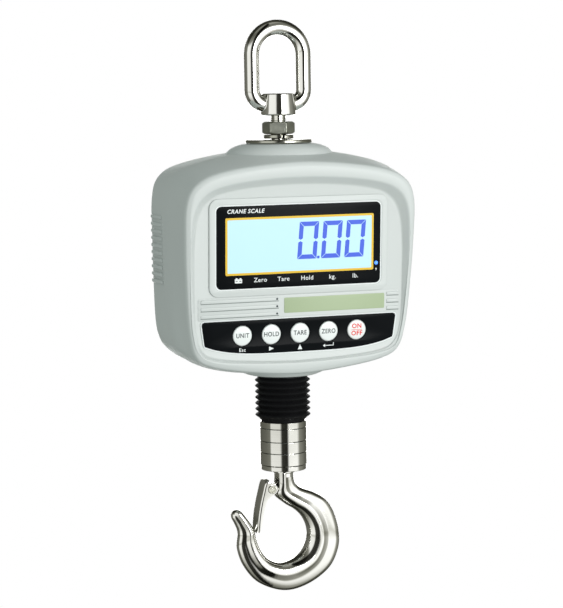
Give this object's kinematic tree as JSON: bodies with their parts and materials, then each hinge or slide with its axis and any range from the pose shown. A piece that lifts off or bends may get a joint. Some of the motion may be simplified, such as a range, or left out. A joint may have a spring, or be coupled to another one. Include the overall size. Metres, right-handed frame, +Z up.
{
  "type": "hanging crane scale",
  "caption": "Hanging crane scale: lifting ring over a grey housing with a tilted backlit display and keypad, a rubber bellows, a swivel and a safety-latch hook.",
  "frame": {"origin": "hang point, at the inner crown of the ring, on the line of load", "axes": "+Z up along the line of load, +X to the right of the display, -Y out of the display"},
  "size_m": [0.185, 0.0942, 0.4332],
  "materials": {
    "polished_steel": "polished nickel-plated steel",
    "zinc": "bright zinc plate, slightly grainy",
    "shell": "light cool grey moulded plastic, satin",
    "rubber": "matte black rubber",
    "black_gloss": "glossy black printed plastic",
    "lcd": "pale backlit display glass",
    "white_plastic": "white moulded plastic",
    "key_white": "white printed key cap",
    "key_red": "white key cap printed in red",
    "board": "green circuit board",
    "alloy": "machined alloy",
    "blue_lamp": "blue lamp lens",
    "cable": "grey cable sheath",
    "battery_wrap": "blue shrink-wrapped battery pack"
  },
  "bodies": {
    "housing": {"suspension_eye": "polished_steel", "eye_spring_washer": "polished_steel", "eye_flat_washer": "polished_steel", "clevis": "polished_steel", "knuckle_pin": "polished_steel", "eye_lock_nut": "zinc", "clevis_lock_nut": "zinc", "case_screw_1": "zinc", "case_screw_2": "zinc", "case_screw_3": "zinc", "case_screw_4": "zinc", "battery_door_screw_1": "zinc", "battery_door_screw_2": "zinc", "key_switch_1": "zinc", "key_switch_2": "zinc", "key_switch_3": "zinc", "key_switch_4": "zinc", "key_switch_5": "zinc", "load_cell": "alloy", "front_shell": "shell", "rear_shell": "shell", "battery_door": "shell", "top_seal": "rubber", "shell_gasket_left": "rubber", "shell_gasket_right": "rubber", "bellows": "rubber", "charge_cap": "rubber", "display_window": "black_gloss", "keypad_overlay": "black_gloss", "charge_socket": "black_gloss", "buzzer": "black_gloss", "lcd_glass": "lcd", "lcd_backlight": "white_plastic", "lcd_holder": "white_plastic", "load_cell_gauge_seal": "white_plastic", "main_board": "board", "keypad_board": "board", "status_led": "blue_lamp", "load_cell_lead": "cable", "battery_pack": "battery_wrap"},
    "swivel_case": {"link_stem": "polished_steel", "swivel_lock_ring": "polished_steel", "swivel_head": "polished_steel", "swivel_sleeve": "polished_steel", "swivel_seat": "polished_steel", "swivel_dust_cap": "polished_steel", "bearing_lower_race": "alloy"},
    "ball_cage": {"bearing_ball_cage": "alloy"},
    "hook_body": {"hook": "polished_steel", "hook_nut": "zinc", "hook_nut_pin": "zinc", "bearing_upper_race": "alloy", "latch_pin": "zinc", "latch_spring": "zinc"},
    "latch_body": {"latch": "polished_steel"},
    "key_unit": {"key_unit": "key_white"},
    "key_hold": {"key_hold": "key_white"},
    "key_tare": {"key_tare": "key_white"},
    "key_zero": {"key_zero": "key_white"},
    "key_power": {"key_power": "key_red"}
  },
  "joints": [
    {"name": "hook_swing", "type": "hinge", "parent": "housing", "child": "swivel_case", "pos_m": [0, 0, -0.264], "axis": [0, 1, 0], "range_deg": [-8, 8], "deforming": ["bellows"]},
    {"name": "hook_swivel", "type": "hinge", "parent": "swivel_case", "child": "hook_body", "pos_m": [0, 0, -0.315], "axis": [0, 0, 1], "continuous": true},
    {"name": "cage_roll", "type": "hinge", "parent": "swivel_case", "child": "ball_cage", "pos_m": [0, 0, -0.315], "axis": [0, 0, 1], "continuous": true},
    {"name": "latch_pivot", "type": "hinge", "parent": "hook_body", "child": "latch_body", "pos_m": [-0.012, 0, -0.342], "axis": [0, -1, 0], "range_deg": [0, 42], "stiffness_Nm_per_rad": 0.02, "springref_deg": -20.05, "deforming": ["latch_spring"]},
    {"name": "key_unit_press", "type": "slide", "parent": "housing", "child": "key_unit", "axis": [0, 0.9985, 0.055], "range_m": [0, 0.0005], "stiffness_N_per_m": 700, "springref_m": -0.0002},
    {"name": "key_hold_press", "type": "slide", "parent": "housing", "child": "key_hold", "axis": [0, 0.9985, 0.055], "range_m": [0, 0.0005], "stiffness_N_per_m": 700, "springref_m": -0.0002},
    {"name": "key_tare_press", "type": "slide", "parent": "housing", "child": "key_tare", "axis": [0, 0.9985, 0.055], "range_m": [0, 0.0005], "stiffness_N_per_m": 700, "springref_m": -0.0002},
    {"name": "key_zero_press", "type": "slide", "parent": "housing", "child": "key_zero", "axis": [0, 0.9985, 0.055], "range_m": [0, 0.0005], "stiffness_N_per_m": 700, "springref_m": -0.0002},
    {"name": "key_power_press", "type": "slide", "parent": "housing", "child": "key_power", "axis": [0, 0.9985, 0.055], "range_m": [0, 0.0005], "stiffness_N_per_m": 700, "springref_m": -0.0002}
  ],
  "couplings": [
    {"joint": "cage_roll", "follows": "hook_swivel", "ratio": 0.5}
  ]
}
